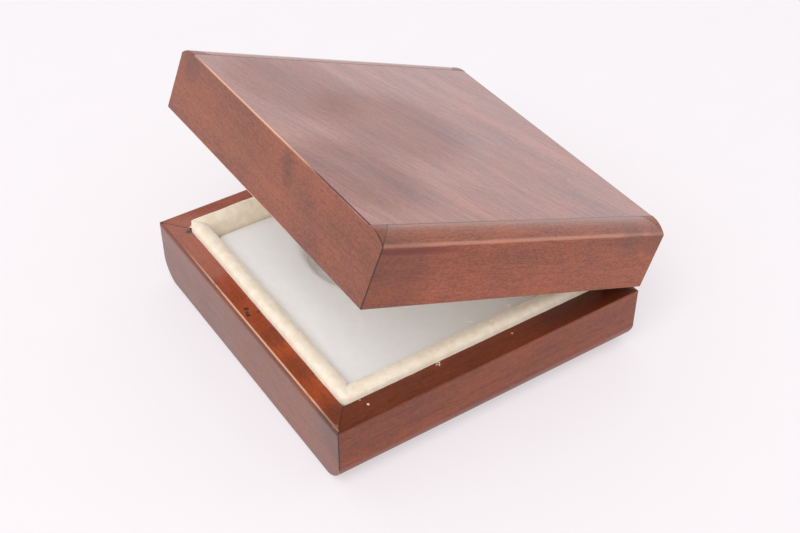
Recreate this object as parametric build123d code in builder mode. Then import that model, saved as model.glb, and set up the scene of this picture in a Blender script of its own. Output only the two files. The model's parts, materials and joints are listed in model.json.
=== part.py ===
"""Hinged wooden display box for one pocket watch.

Millimetres, +Z up. The origin is the centre of the base's underside, -Y is the front, and the
hinges are at the back. Every lid piece is modelled with the box shut, and is then swung open
about the hinge pins by the angle at which the lid stands.
"""
from build123d import *
import os

# ---------------------------------------------------------------- driving dimensions
box_width = 110.0
box_depth = 106.4
lid_open_angle = 22.0

# base carcase
base_height = 21.6
base_side_rail_thickness = 8.2
base_end_rail_thickness = 6.6
base_shoulder_width = 7.8
base_shoulder_height = 7.4
base_shoulder_radius = 8.5
base_panel_thickness = 3.0
rim_round = 1.4
felt_thickness = 0.5
felt_inset = 9.5

# lid carcase
lid_height = 21.0
lid_shoulder_width = 6.8
lid_shoulder_height = 4.2
lid_shoulder_radius = 7.7
lid_edge_round = 0.4
lid_panel_thickness = 3.0
veneer_thickness = 0.6
seam_gap = 0.3
lid_collar_clearance = 0.6

# velvet collar
collar_proud = 3.2
collar_thickness = 5.0
collar_top_round = 2.2
velvet_thickness = 1.2

# display pad
pad_drop = 5.6
pad_board_thickness = 1.5
pad_cover_thickness = 0.6
pad_edge_clearance = 0.15
recess_diameter = 46.0
recess_depth = 9.6
recess_left_offset = 11.0
recess_back_offset = 1.75

# lid lining and padded ceiling
lining_thickness = 1.4
lining_collar_clearance = 0.8
lid_pad_board_thickness = 1.4
lid_pad_foam_thickness = 2.8
lid_pad_cover_thickness = 0.5
lid_pad_edge_clearance = 0.15

# butt hinges
hinge_length = 16.0
hinge_side_distance = 22.0
knuckle_radius = 2.0
knuckle_back_clearance = 0.3
knuckle_end_gap = 0.15
middle_knuckle_length = 7.4
leaf_thickness = 1.0
leaf_seat_depth = 4.6
mortise_clearance = 0.05
pin_radius = 0.85
pin_clearance = 0.05

# hinge screws
screw_spacing = 9.0
screw_back_distance = 2.4
screw_shank_radius = 0.7
screw_head_radius = 1.4
screw_head_height = 0.7
screw_length = 6.5
screw_slot_width = 0.35
screw_slot_depth = 0.3
screw_hole_clearance = 0.03

# ---------------------------------------------------------------- derived places
half_width = box_width / 2
half_depth = box_depth / 2

base_bottom = felt_thickness
rim_level = base_bottom + base_height
base_inner_x = half_width - base_side_rail_thickness
base_inner_y = half_depth - base_end_rail_thickness
pad_base_level = base_bottom + base_panel_thickness

lid_bottom = rim_level + seam_gap
lid_top = lid_bottom + lid_height
lid_inner_x = base_inner_x + lid_collar_clearance
lid_inner_y = base_inner_y + lid_collar_clearance
veneer_bottom = lid_top - veneer_thickness
veneer_half_x = half_width - lid_shoulder_width
panel_bottom = veneer_bottom - lid_panel_thickness

collar_top = rim_level + collar_proud
collar_inner_x = base_inner_x - collar_thickness
collar_inner_y = base_inner_y - collar_thickness

pad_half_x = collar_inner_x - pad_edge_clearance
pad_half_y = collar_inner_y - pad_edge_clearance
pad_top = collar_top - pad_drop
pad_foam_bottom = pad_base_level + pad_board_thickness
pad_foam_top = pad_top - pad_cover_thickness
recess_radius = recess_diameter / 2
recess_centre = (-recess_left_offset, recess_back_offset)
recess_floor = pad_top - recess_depth

lining_bottom = collar_top + lining_collar_clearance
lid_pad_half_x = lid_inner_x - lining_thickness - lid_pad_edge_clearance
lid_pad_half_y = lid_inner_y - lining_thickness - lid_pad_edge_clearance
lid_pad_board_bottom = panel_bottom - lid_pad_board_thickness
lid_pad_foam_bottom = lid_pad_board_bottom - lid_pad_foam_thickness
lid_pad_cover_bottom = lid_pad_foam_bottom - lid_pad_cover_thickness

hinge_y = half_depth + knuckle_back_clearance + knuckle_radius
hinge_z = (rim_level + lid_bottom) / 2
hinge_axis = Axis((0, hinge_y, hinge_z), (1, 0, 0))
hinge_centres = {"left": hinge_side_distance - half_width, "right": half_width - hinge_side_distance}
screw_y = half_depth - screw_back_distance
sides = ("front", "back", "left", "right")


# ---------------------------------------------------------------- shapes used more than once
def mitred_plan(side, outer_x, outer_y, inner_x, inner_y):
    """Plan of one piece of a rectangular ring whose corners are mitred."""
    corners = {
        "front": ((-outer_x, -outer_y), (outer_x, -outer_y), (inner_x, -inner_y), (-inner_x, -inner_y)),
        "back": ((-outer_x, outer_y), (-inner_x, inner_y), (inner_x, inner_y), (outer_x, outer_y)),
        "left": ((-outer_x, -outer_y), (-inner_x, -inner_y), (-inner_x, inner_y), (-outer_x, outer_y)),
        "right": ((outer_x, -outer_y), (outer_x, outer_y), (inner_x, inner_y), (inner_x, -inner_y)),
    }
    with BuildSketch() as plan:
        with BuildLine():
            Polyline(*corners[side], close=True)
        make_face()
    return plan.sketch


def shouldered_front(plain_edge, shoulder_edge, width, height, radius):
    """Front view of a carcase with two rounded shoulders.

    The outline is square at `plain_edge` and carries the shoulders at `shoulder_edge`.
    """
    rising = shoulder_edge > plain_edge
    knee = shoulder_edge - height if rising else shoulder_edge + height
    bulge = radius if rising else -radius
    with BuildSketch() as front_view:
        with BuildLine():
            left_shoulder = RadiusArc((-half_width, knee), (-half_width + width, shoulder_edge), bulge)
            right_shoulder = RadiusArc((half_width - width, shoulder_edge), (half_width, knee), bulge)
            Line(left_shoulder @ 1, right_shoulder @ 0)
            Polyline(
                right_shoulder @ 1,
                (half_width, plain_edge),
                (-half_width, plain_edge),
                left_shoulder @ 0,
            )
        make_face()
    return front_view.sketch


def flat_sheet(half_x, half_y, level, thickness):
    """A rectangular sheet centred on the box, from `level` up."""
    with BuildPart() as board:
        with BuildSketch(Plane.XY.offset(level)):
            Rectangle(2 * half_x, 2 * half_y)
        extrude(amount=thickness)
    return board.part


def collar_strip(side, outer_inset, thickness, bottom, top, top_round):
    """A mitred strip of the collar with both of its top edges rounded."""
    outer_x = base_inner_x - outer_inset
    outer_y = base_inner_y - outer_inset
    with BuildPart() as strip:
        with BuildSketch(Plane.XY.offset(bottom)):
            add(mitred_plan(side, outer_x, outer_y, outer_x - thickness, outer_y - thickness))
        extrude(amount=top - bottom)
        along_x = side in ("front", "back")
        section_plane = Plane.YZ if along_x else Plane.XZ
        direction = -1 if side in ("front", "left") else 1
        centre = direction * ((outer_y if along_x else outer_x) - thickness / 2)
        with BuildSketch(section_plane):
            with Locations((centre, (bottom + top) / 2)):
                section = Rectangle(thickness, top - bottom)
            fillet(section.vertices().group_by(Axis.Z)[-1], radius=top_round)
        extrude(amount=max(box_width, box_depth), both=True, mode=Mode.INTERSECT)
    return strip.part


def hinge_leaf(centre_x, level, grows_up):
    """One leaf of a butt hinge: its plate, its knuckles, and countersunk holes for two screws.

    The plate's seam face lies at `level`. The leaf that grows up carries the middle knuckle, and
    the other leaf carries the two outer ones.
    """
    plate_bottom = level if grows_up else level - leaf_thickness
    back_reach = hinge_y - half_depth
    gap_length = middle_knuckle_length + 2 * knuckle_end_gap
    outer_length = (hinge_length - gap_length) / 2
    outer_centre = (hinge_length - outer_length) / 2
    knuckle_plan = (
        ((0.0, middle_knuckle_length),)
        if grows_up
        else ((-outer_centre, outer_length), (outer_centre, outer_length))
    )
    with BuildPart() as leaf:
        with BuildSketch(Plane.XY.offset(plate_bottom)):
            with Locations((centre_x, half_depth - leaf_seat_depth / 2)):
                Rectangle(hinge_length, leaf_seat_depth)
            for offset_x, length in knuckle_plan:
                with Locations((centre_x + offset_x, half_depth + back_reach / 2)):
                    Rectangle(length, back_reach)
        extrude(amount=leaf_thickness)
        for offset_x, length in knuckle_plan:
            with BuildSketch(Plane.YZ.offset(centre_x + offset_x - length / 2)):
                with Locations((hinge_y, hinge_z)):
                    Circle(knuckle_radius)
            extrude(amount=length)
        with BuildSketch(Plane.YZ.offset(centre_x)):
            with Locations((hinge_y, hinge_z)):
                Circle(pin_radius + pin_clearance)
        extrude(amount=hinge_length, both=True, mode=Mode.SUBTRACT)
        add(screw_pair(centre_x, level, grows_up, screw_hole_clearance), mode=Mode.SUBTRACT)
    return leaf.part


def screw_pair(centre_x, level, grows_up, clearance=0.0, slotted=False):
    """Two countersunk screws whose heads are flush with `level`, or the holes they need."""
    into_wood = 1 if grows_up else -1
    head_end = level + into_wood * screw_head_height
    shank_end = level + into_wood * screw_length
    with BuildPart() as screws:
        for side in (-1, 1):
            screw_x = centre_x + side * screw_spacing / 2
            with BuildSketch(Plane.XZ.offset(-screw_y)):
                with BuildLine():
                    Polyline(
                        (screw_x, level),
                        (screw_x + screw_head_radius + clearance, level),
                        (screw_x + screw_shank_radius + clearance, head_end),
                        (screw_x + screw_shank_radius + clearance, shank_end),
                        (screw_x, shank_end),
                        close=True,
                    )
                make_face()
            revolve(axis=Axis((screw_x, screw_y, 0), (0, 0, 1)))
            if slotted:
                with BuildSketch(Plane.XY.offset(level)):
                    with Locations((screw_x, screw_y)):
                        Rectangle(2 * screw_head_radius, screw_slot_width, rotation=screw_x)
                extrude(amount=into_wood * screw_slot_depth, mode=Mode.SUBTRACT)
    return screws.part


def mortises(level, grows_up):
    """What a back rail loses for its two leaves and their screws."""
    sunk = leaf_thickness if grows_up else -leaf_thickness
    with BuildPart() as pockets:
        for centre_x in hinge_centres.values():
            with BuildSketch(Plane.XY.offset(level)):
                with Locations((centre_x, half_depth - leaf_seat_depth / 2)):
                    Rectangle(
                        hinge_length + 2 * mortise_clearance,
                        leaf_seat_depth + 2 * mortise_clearance,
                    )
            extrude(amount=sunk)
            add(screw_pair(centre_x, level, grows_up, screw_hole_clearance))
    return pockets.part


# ---------------------------------------------------------------- writing the pieces
os.makedirs("parts", exist_ok=True)


def write_piece(piece, name):
    """Label a finished piece and write its STEP file."""
    piece.label = name
    export_step(piece, f"parts/{name}.step")


def write_lid_piece(piece, name):
    """Swing a lid piece open about the hinge pins, then write it."""
    write_piece(piece.rotate(hinge_axis, -lid_open_angle), name)


# ---------------------------------------------------------------- base carcase
for side in sides:
    with BuildPart() as base_rail:
        with BuildSketch(Plane.XY.offset(base_bottom)):
            add(mitred_plan(side, half_width, half_depth, base_inner_x, base_inner_y))
        extrude(amount=base_height)
        with BuildSketch(Plane.XZ.offset(-half_depth)):
            add(
                shouldered_front(
                    rim_level,
                    base_bottom,
                    base_shoulder_width,
                    base_shoulder_height,
                    base_shoulder_radius,
                )
            )
        extrude(amount=box_depth, mode=Mode.INTERSECT)
        along = Axis.X if side in ("front", "back") else Axis.Y
        rim_edges = base_rail.edges().filter_by(along).group_by(Axis.Z)[-1]
        fillet(rim_edges.sort_by(SortBy.LENGTH)[-1], radius=rim_round)
        if side == "back":
            add(mortises(rim_level, grows_up=False), mode=Mode.SUBTRACT)
    write_piece(base_rail.part, f"base_{side}_rail")

with BuildPart() as base_bottom_panel:
    add(flat_sheet(base_inner_x, base_inner_y, base_bottom, base_panel_thickness))
write_piece(base_bottom_panel.part, "base_bottom_panel")

with BuildPart() as base_underside_felt:
    add(flat_sheet(half_width - felt_inset, half_depth - felt_inset, 0, felt_thickness))
write_piece(base_underside_felt.part, "base_underside_felt")

# ---------------------------------------------------------------- velvet collar
for side in sides:
    with BuildPart() as collar_core:
        add(
            collar_strip(
                side,
                velvet_thickness,
                collar_thickness - 2 * velvet_thickness,
                pad_base_level,
                collar_top - velvet_thickness,
                collar_top_round - velvet_thickness,
            )
        )
    write_piece(collar_core.part, f"collar_{side}_core")

    with BuildPart() as collar_cover:
        add(collar_strip(side, 0, collar_thickness, pad_base_level, collar_top, collar_top_round))
        add(collar_core.part, mode=Mode.SUBTRACT)
    write_piece(collar_cover.part, f"collar_{side}_cover")

# ---------------------------------------------------------------- display pad
with BuildPart() as pad_board:
    add(flat_sheet(pad_half_x, pad_half_y, pad_base_level, pad_board_thickness))
write_piece(pad_board.part, "pad_board")

with BuildPart() as pad_foam:
    add(flat_sheet(pad_half_x, pad_half_y, pad_foam_bottom, pad_foam_top - pad_foam_bottom))
    with BuildSketch(Plane.XY.offset(pad_foam_top)):
        with Locations(recess_centre):
            Circle(recess_radius + pad_cover_thickness)
    extrude(amount=recess_floor - pad_cover_thickness - pad_foam_top, mode=Mode.SUBTRACT)
write_piece(pad_foam.part, "pad_foam")

with BuildPart() as pad_cover:
    add(flat_sheet(pad_half_x, pad_half_y, pad_foam_top, pad_cover_thickness))
    with BuildSketch(Plane.XY.offset(pad_foam_top)):
        with Locations(recess_centre):
            Circle(recess_radius + pad_cover_thickness)
    extrude(amount=recess_floor - pad_cover_thickness - pad_foam_top)
    with BuildSketch(Plane.XY.offset(pad_top)):
        with Locations(recess_centre):
            Circle(recess_radius)
    extrude(amount=-recess_depth, mode=Mode.SUBTRACT)
write_piece(pad_cover.part, "pad_cover")

# ---------------------------------------------------------------- lid carcase
for side in sides:
    with BuildPart() as lid_rail:
        with BuildSketch(Plane.XY.offset(lid_bottom)):
            add(mitred_plan(side, half_width, half_depth, lid_inner_x, lid_inner_y))
        extrude(amount=lid_height)
        with BuildSketch(Plane.XZ.offset(-half_depth)):
            add(
                shouldered_front(
                    lid_bottom,
                    lid_top,
                    lid_shoulder_width,
                    lid_shoulder_height,
                    lid_shoulder_radius,
                )
            )
        extrude(amount=box_depth, mode=Mode.INTERSECT)
        along = Axis.X if side in ("front", "back") else Axis.Y
        lower_edges = lid_rail.edges().filter_by(along).group_by(Axis.Z)[0]
        fillet(lower_edges.sort_by(SortBy.LENGTH)[-1], radius=lid_edge_round)
        add(flat_sheet(veneer_half_x, half_depth, veneer_bottom, veneer_thickness), mode=Mode.SUBTRACT)
        if side == "back":
            add(mortises(lid_bottom, grows_up=True), mode=Mode.SUBTRACT)
    write_lid_piece(lid_rail.part, f"lid_{side}_rail")

with BuildPart() as lid_top_panel:
    add(flat_sheet(lid_inner_x, lid_inner_y, panel_bottom, lid_panel_thickness))
write_lid_piece(lid_top_panel.part, "lid_top_panel")

with BuildPart() as lid_top_veneer:
    add(flat_sheet(veneer_half_x, half_depth, veneer_bottom, veneer_thickness))
write_lid_piece(lid_top_veneer.part, "lid_top_veneer")

# ---------------------------------------------------------------- lid lining and ceiling pad
for side in sides:
    with BuildPart() as lid_lining:
        with BuildSketch(Plane.XY.offset(lining_bottom)):
            add(
                mitred_plan(
                    side,
                    lid_inner_x,
                    lid_inner_y,
                    lid_inner_x - lining_thickness,
                    lid_inner_y - lining_thickness,
                )
            )
        extrude(amount=panel_bottom - lining_bottom)
    write_lid_piece(lid_lining.part, f"lid_lining_{side}")

with BuildPart() as lid_pad_board:
    add(flat_sheet(lid_pad_half_x, lid_pad_half_y, lid_pad_board_bottom, lid_pad_board_thickness))
write_lid_piece(lid_pad_board.part, "lid_pad_board")

with BuildPart() as lid_pad_foam:
    add(flat_sheet(lid_pad_half_x, lid_pad_half_y, lid_pad_foam_bottom, lid_pad_foam_thickness))
write_lid_piece(lid_pad_foam.part, "lid_pad_foam")

with BuildPart() as lid_pad_cover:
    add(flat_sheet(lid_pad_half_x, lid_pad_half_y, lid_pad_cover_bottom, lid_pad_cover_thickness))
write_lid_piece(lid_pad_cover.part, "lid_pad_cover")

# ---------------------------------------------------------------- hinges
for hinge_name, centre_x in hinge_centres.items():
    with BuildPart() as lower_leaf:
        add(hinge_leaf(centre_x, rim_level, grows_up=False))
    write_piece(lower_leaf.part, f"hinge_{hinge_name}_lower_leaf")

    with BuildPart() as upper_leaf:
        add(hinge_leaf(centre_x, lid_bottom, grows_up=True))
    write_lid_piece(upper_leaf.part, f"hinge_{hinge_name}_upper_leaf")

    with BuildPart() as hinge_pin:
        with BuildSketch(Plane.YZ.offset(centre_x - hinge_length / 2)):
            with Locations((hinge_y, hinge_z)):
                Circle(pin_radius)
        extrude(amount=hinge_length)
    write_piece(hinge_pin.part, f"hinge_{hinge_name}_pin")

with BuildPart() as hinge_lower_screws:
    for centre_x in hinge_centres.values():
        add(screw_pair(centre_x, rim_level, grows_up=False, slotted=True))
write_piece(hinge_lower_screws.part, "hinge_lower_screws")

with BuildPart() as hinge_upper_screws:
    for centre_x in hinge_centres.values():
        add(screw_pair(centre_x, lid_bottom, grows_up=True, slotted=True))
write_lid_piece(hinge_upper_screws.part, "hinge_upper_screws")
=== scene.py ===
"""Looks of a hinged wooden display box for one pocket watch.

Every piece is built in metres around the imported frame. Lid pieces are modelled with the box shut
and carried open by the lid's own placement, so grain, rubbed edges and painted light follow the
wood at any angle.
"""

import json
import logging
import math
import random
from dataclasses import dataclass
from enum import Enum
from typing import Sequence

import bmesh
import bpy
from mathutils import Matrix, Vector, noise


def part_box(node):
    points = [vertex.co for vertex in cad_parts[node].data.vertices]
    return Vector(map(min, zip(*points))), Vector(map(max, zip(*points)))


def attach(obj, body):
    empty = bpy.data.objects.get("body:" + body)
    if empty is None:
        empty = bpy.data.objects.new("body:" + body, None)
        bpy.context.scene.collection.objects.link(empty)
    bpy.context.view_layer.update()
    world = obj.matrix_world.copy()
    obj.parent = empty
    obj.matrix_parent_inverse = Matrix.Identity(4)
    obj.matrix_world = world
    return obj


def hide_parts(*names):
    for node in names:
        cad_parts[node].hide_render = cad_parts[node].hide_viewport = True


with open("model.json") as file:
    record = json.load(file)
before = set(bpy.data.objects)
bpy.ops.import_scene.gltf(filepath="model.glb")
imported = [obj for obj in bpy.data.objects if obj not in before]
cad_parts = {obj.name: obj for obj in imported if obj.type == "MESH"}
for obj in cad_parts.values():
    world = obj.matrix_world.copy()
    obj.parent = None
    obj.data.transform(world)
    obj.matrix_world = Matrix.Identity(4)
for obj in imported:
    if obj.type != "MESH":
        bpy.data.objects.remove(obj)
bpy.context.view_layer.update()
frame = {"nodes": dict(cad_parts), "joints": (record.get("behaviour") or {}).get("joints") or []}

LOG = logging.getLogger("display_box")
MM = 0.001

Socket = bpy.types.NodeSocket
Node = bpy.types.Node
Parts = bpy.types.bpy_prop_collection
Piece = bpy.types.Object
Colour = tuple[float, float, float, float]


class Side(Enum):
    """The four sides of the box."""

    FRONT = "front"
    BACK = "back"
    LEFT = "left"
    RIGHT = "right"

    @property
    def along_x(self) -> bool:
        """Whether a piece on this side runs from left to right."""
        return self in (Side.FRONT, Side.BACK)

    @property
    def outward(self) -> int:
        """Sign of the outward direction along the axis that the side faces."""
        return -1 if self in (Side.FRONT, Side.LEFT) else 1


class Grain(Enum):
    """Direction in which the fibres of a wooden piece run, as an angle from +X."""

    ALONG_X = 0.0
    ALONG_Y = math.pi / 2
    SLANTED = math.radians(22.0)


# ---------------------------------------------------------------- places taken from the frame
def lid_hinge() -> tuple[Vector, float]:
    """Find the hinge line and how far the lid stands open at rest.

    Returns:
        A point on the hinge line, and the opening angle in radians.
    """
    joint = next(j for j in frame["joints"] if j["name"] == "lid_hinge")
    return Vector(joint["pos_m"]), -math.radians(joint["range_deg"][0])


HINGE_POINT, OPEN_ANGLE = lid_hinge()
OPEN_LID = (
    Matrix.Translation(HINGE_POINT)
    @ Matrix.Rotation(-OPEN_ANGLE, 4, "X")
    @ Matrix.Translation(-HINGE_POINT)
)
SHUT_LID = OPEN_LID.inverted()


def shut_box(node: str) -> tuple[Vector, Vector]:
    """Extents of a lid node as they are with the box shut.

    Args:
        node: Name of a node on the lid.

    Returns:
        Its lowest and highest corner, with the lid swung shut.
    """
    places = [SHUT_LID @ v.co for v in frame["nodes"][node].data.vertices]
    low = Vector([min(p[axis] for p in places) for axis in range(3)])
    high = Vector([max(p[axis] for p in places) for axis in range(3)])
    return low, high


# ---------------------------------------------------------------- mesh helpers
Ring = Sequence[Vector]


def finish_mesh(bm: bmesh.types.BMesh, name: str, sharp_angle: float = 30.0) -> Piece:
    """Turn a bmesh into a linked, smoothly shaded object.

    Args:
        bm: The mesh in work. It is freed.
        name: Name of the new object.
        sharp_angle: Edges bent by more degrees than this stay crisp.

    Returns:
        The new object.
    """
    bmesh.ops.remove_doubles(bm, verts=bm.verts, dist=2e-7)
    bmesh.ops.dissolve_degenerate(bm, edges=bm.edges, dist=2e-7)
    bmesh.ops.recalc_face_normals(bm, faces=bm.faces)
    for edge in bm.edges:
        edge.smooth = edge.smooth and edge.calc_face_angle(0.0) < math.radians(sharp_angle)
    for face in bm.faces:
        face.smooth = True
    mesh = bpy.data.meshes.new(name)
    bm.to_mesh(mesh)
    bm.free()
    piece = bpy.data.objects.new(name, mesh)
    bpy.context.scene.collection.objects.link(piece)
    return piece


def skin(name: str, rings: Sequence[Ring], sharp_angle: float = 30.0, even: bool = True) -> Piece:
    """Stretch a closed skin over a row of rings and cap both ends.

    Args:
        name: Name of the new object.
        rings: Loops with the same number of points each.
        sharp_angle: Edges bent by more degrees than this stay crisp.
        even: Whether broad flat faces keep their own shading beside narrow rounds.

    Returns:
        The new object.
    """
    bm = bmesh.new()
    rows = [[bm.verts.new(point) for point in ring] for ring in rings]
    count = len(rows[0])
    for near, far in zip(rows, rows[1:]):
        for i in range(count):
            j = (i + 1) % count
            bm.faces.new((near[i], near[j], far[j], far[i]))
    bm.faces.new(rows[0])
    bm.faces.new(list(reversed(rows[-1])))
    piece = finish_mesh(bm, name, sharp_angle)
    if even:
        shading = piece.modifiers.new("even_shading", "WEIGHTED_NORMAL")
        shading.keep_sharp = True
    return piece


def round_inset(depth: float, radius: float) -> float:
    """How far a rounded edge has drawn in at a depth below its face.

    Args:
        depth: Distance in from one face of the edge.
        radius: Radius of the round.

    Returns:
        The distance in from the other face, zero beyond the round.
    """
    if depth >= radius:
        return 0.0
    return radius - math.sqrt(max(radius * radius - (radius - depth) ** 2, 0.0))


def quarter(steps: int) -> list[tuple[float, float]]:
    """Even steps round a quarter of a unit circle.

    Args:
        steps: How many steps to take.

    Returns:
        One less the cosine and one less the sine of each angle, from 0 to a right angle.
    """
    angles = [math.pi / 2 * step / steps for step in range(steps + 1)]
    return [(1 - math.cos(angle), 1 - math.sin(angle)) for angle in angles]


def place(piece: Piece, body: str, slot: str, *nodes: str) -> Piece:
    """Seat a finished piece on its body and let it stand for its nodes.

    Args:
        piece: The piece, modelled with the box shut.
        body: "base" or "lid".
        slot: The record's material slot; not used.
        nodes: The frame nodes it stands for.

    Returns:
        The same piece.
    """
    if body == "lid":
        piece.matrix_world = OPEN_LID
    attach(piece, body)
    if nodes:
        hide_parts(*nodes)
    LOG.info("%s: %d faces on %s", piece.name, len(piece.data.polygons), body)
    return piece


# ---------------------------------------------------------------- shader node helpers
class Graph:
    """A thin, typed hand on one node tree."""

    def __init__(self, tree: bpy.types.NodeTree) -> None:
        """Wrap a node tree."""
        self.tree = tree

    def node(self, kind: str, **settings: object) -> Node:
        """Add a node and set its properties."""
        made = self.tree.nodes.new(kind)
        for name, value in settings.items():
            setattr(made, name, value)
        return made

    def feed(self, socket: Socket, value: object) -> None:
        """Link a socket, or write a plain value, into an input."""
        if isinstance(value, Socket):
            self.tree.links.new(value, socket)
        else:
            socket.default_value = value

    def give(self, node: Node, **values: object) -> None:
        """Feed several inputs of a node by name."""
        for name, value in values.items():
            self.feed(node.inputs[name], value)

    def math(self, operation: str, *values: object, clamp: bool = False) -> Socket:
        """One maths node over sockets and numbers."""
        made = self.node("ShaderNodeMath", operation=operation, use_clamp=clamp)
        for socket, value in zip(made.inputs, values):
            self.feed(socket, value)
        return made.outputs[0]

    def times(self, first: object, second: object) -> Socket:
        """One value times another."""
        return self.math("MULTIPLY", first, second)

    def scaled(self, value: object, factor: object, offset: object, clamp: bool = False) -> Socket:
        """A value times a factor, plus an offset."""
        return self.math("MULTIPLY_ADD", value, factor, offset, clamp=clamp)

    def less(self, value: object) -> Socket:
        """One less a value."""
        return self.math("SUBTRACT", 1.0, value)

    def vector(self, operation: str, *values: object) -> Socket:
        """One vector maths node. Scale takes its factor as the last value."""
        made = self.node("ShaderNodeVectorMath", operation=operation)
        if operation == "SCALE":
            self.feed(made.inputs[0], values[0])
            self.feed(made.inputs["Scale"], values[1])
        else:
            for socket, value in zip(made.inputs, values):
                self.feed(socket, value)
        return made.outputs["Value" if operation in ("LENGTH", "DISTANCE") else "Vector"]

    def mapped(self, vector: Socket, scale: Sequence[float], turn: float = 0.0) -> Socket:
        """Turn a vector about Z, then stretch it."""
        turned = self.node("ShaderNodeVectorRotate", rotation_type="Z_AXIS")
        self.give(turned, Vector=vector, Angle=-turn)
        return self.vector("MULTIPLY", turned.outputs[0], tuple(scale))

    def noise(
        self, vector: Socket, scale: float, detail: float = 3.0, rough: float = 0.5
    ) -> Socket:
        """Soft noise from 0 to 1."""
        made = self.node("ShaderNodeTexNoise")
        self.give(made, Vector=vector, Scale=scale, Detail=detail, Roughness=rough)
        return made.outputs["Fac"]

    def drawn_noise(
        self, vector: Socket, stretch: Sequence[float], detail: float = 3.0, rough: float = 0.5
    ) -> Socket:
        """Soft noise drawn out by its own scale along each axis."""
        return self.noise(self.vector("MULTIPLY", vector, tuple(stretch)), 1.0, detail, rough)

    def ramp(self, value: Socket, low: float, high: float) -> Socket:
        """Stretch the part of a value between low and high to 0..1, with soft ends."""
        made = self.node("ShaderNodeMapRange", interpolation_type="SMOOTHSTEP")
        self.give(made, **{"Value": value, "From Min": low, "From Max": high})
        return made.outputs[0]

    def mix(self, amount: object, first: object, second: object, blend: str = "MIX") -> Socket:
        """Mix two colours."""
        made = self.node("ShaderNodeMix", data_type="RGBA", blend_type=blend)
        self.feed(made.inputs["Factor"], amount)
        self.feed(made.inputs[6], first)
        self.feed(made.inputs[7], second)
        return made.outputs[2]

    def group(self, name: str, **inputs: object) -> Node:
        """Place one of the shared effect groups with its own values."""
        made = self.node("ShaderNodeGroup", node_tree=bpy.data.node_groups[name])
        self.give(made, **inputs)
        return made

    def parts(self, vector: Socket) -> Parts:
        """The X, Y and Z of a vector."""
        made = self.node("ShaderNodeSeparateXYZ")
        self.feed(made.inputs[0], vector)
        return made.outputs

    def relief(self, shader: Node, height: Socket, strength: float, distance: float) -> None:
        """Give a shader fine relief from a height."""
        made = self.node("ShaderNodeBump")
        self.give(made, Strength=strength, Distance=distance, Height=height)
        self.feed(shader.inputs["Normal"], made.outputs[0])


def new_group(name: str, inputs: dict[str, object], *outputs: str) -> tuple[Graph, dict, dict]:
    """Start a shared effect.

    Args:
        name: Name of the group.
        inputs: Input names with a default number, or None for a vector.
        outputs: Names of its outputs, which are all plain numbers.

    Returns:
        The graph, its inputs by name and its output sockets by name.
    """
    tree = bpy.data.node_groups.new(name, "ShaderNodeTree")
    for socket_name, default in inputs.items():
        kind = "NodeSocketVector" if default is None else "NodeSocketFloat"
        socket = tree.interface.new_socket(socket_name, in_out="INPUT", socket_type=kind)
        if default is not None:
            socket.default_value = default
    for socket_name in outputs:
        tree.interface.new_socket(socket_name, in_out="OUTPUT", socket_type="NodeSocketFloat")
    graph = Graph(tree)
    entry = graph.node("NodeGroupInput")
    leave = graph.node("NodeGroupOutput")
    return graph, {s.name: s for s in entry.outputs}, {s.name: s for s in leave.inputs}


def build_wood_figure() -> None:
    """Shared effect: streaks, flecks and open pores of a hardwood, running along X."""
    graph, given, out = new_group(
        "wood_figure", {"Vector": None, "Seed": 0.0}, "Streaks", "Flecks", "Pores",
    )
    offset = graph.node("ShaderNodeCombineXYZ")
    graph.give(offset, X=given["Seed"], Y=given["Seed"], Z=given["Seed"])
    shifted = graph.vector("ADD", given["Vector"], offset.outputs[0])
    wander = graph.drawn_noise(shifted, (30.0, 46.0, 46.0), 2.0)
    wander = graph.scaled(wander, 0.008, -0.004)
    drift = graph.node("ShaderNodeCombineXYZ")
    graph.give(drift, Y=wander, Z=wander)
    bent = graph.vector("ADD", shifted, drift.outputs[0])
    broad = graph.drawn_noise(bent, (16.0, 150.0, 150.0), 3.0, 0.5)
    narrow = graph.drawn_noise(bent, (70.0, 1500.0, 1500.0), 3.0, 0.6)
    streaks = graph.scaled(narrow, 0.55, graph.times(broad, 0.45))
    graph.feed(out["Streaks"], graph.ramp(streaks, 0.34, 0.66))
    flecks = graph.drawn_noise(bent, (820.0, 3000.0, 3000.0), 1.0, 0.7)
    graph.feed(out["Flecks"], graph.ramp(flecks, 0.38, 0.62))
    pores = graph.drawn_noise(bent, (520.0, 3600.0, 3600.0), 1.0)
    graph.feed(out["Pores"], graph.ramp(pores, 0.60, 0.70))


def build_mottle() -> None:
    """Shared effect: cloudy patches of stain and a fine stipple under the lacquer."""
    graph, given, out = new_group(
        "stain_mottle", {"Vector": None, "Scale": 1.0}, "Clouds", "Stipple",
    )
    scaled = graph.vector("SCALE", given["Vector"], given["Scale"])
    clouds = graph.noise(scaled, 42.0, 3.0, 0.55)
    graph.feed(out["Clouds"], graph.ramp(clouds, 0.32, 0.68))
    stipple = graph.noise(scaled, 900.0, 3.0, 0.6)
    graph.feed(out["Stipple"], graph.ramp(stipple, 0.30, 0.70))


def build_ragged_spot() -> None:
    """Shared effect: one ragged spot about a place."""
    graph, given, out = new_group(
        "ragged_spot", {"Vector": None, "Centre": None, "Radius": 0.001, "Raggedness": 0.4}, "Mask",
    )
    away = graph.vector("DISTANCE", given["Vector"], given["Centre"])
    ragged = graph.noise(given["Vector"], 1400.0, 2.0)
    ragged = graph.times(graph.math("SUBTRACT", ragged, 0.5), given["Raggedness"])
    relative = graph.math("ADD", graph.math("DIVIDE", away, given["Radius"]), ragged)
    mask = graph.less(graph.ramp(relative, 0.55, 1.15))
    graph.feed(out["Mask"], mask)


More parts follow.
